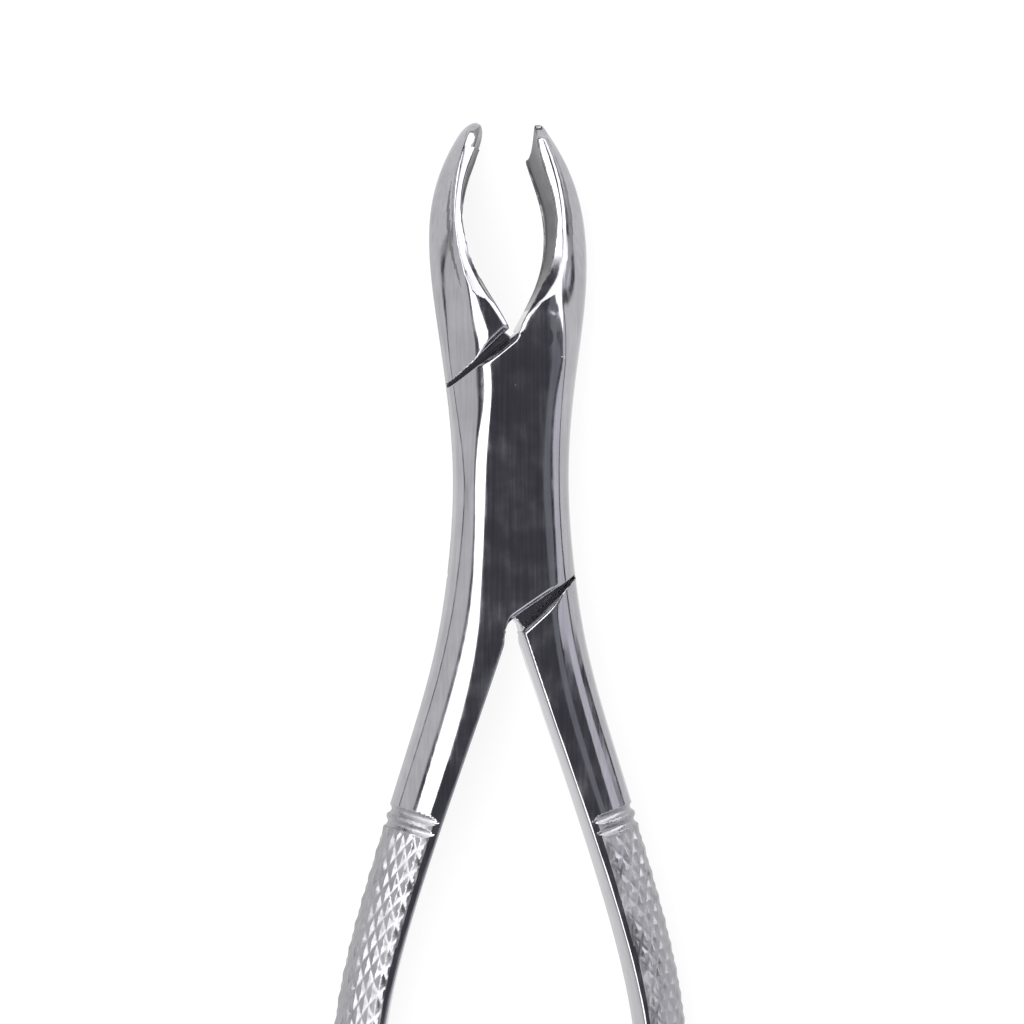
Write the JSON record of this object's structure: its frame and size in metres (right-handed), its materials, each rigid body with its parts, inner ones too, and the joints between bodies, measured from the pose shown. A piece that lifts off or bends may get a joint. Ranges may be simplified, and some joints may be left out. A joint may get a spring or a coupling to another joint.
{
  "type": "extraction forceps",
  "caption": "steel dental extraction forceps with curved hollowed beaks, a lap joint on a hinge screw and long bowed knurled handles",
  "frame": {"origin": "on the hinge axis, in the plane of the table that the beak tips and handle ends lie on", "axes": "+Z along the hinge axis out of the joint's front face, +Y from the hinge to the beak tips, +X to the right seen from the front"},
  "size_m": [0.0478, 0.1757, 0.0149],
  "materials": {
    "polished_steel": "polished",
    "screw_steel": "satin"
  },
  "bodies": {
    "front_arm": {"front_arm": "polished_steel", "hinge_screw": "screw_steel"},
    "rear_arm": {"rear_arm": "polished_steel"}
  },
  "joints": [
    {"name": "hinge", "type": "hinge", "parent": "front_arm", "child": "rear_arm", "pos_m": [0, 0, 0], "axis": [0, 0, 1], "range_deg": [-4, 30]}
  ]
}
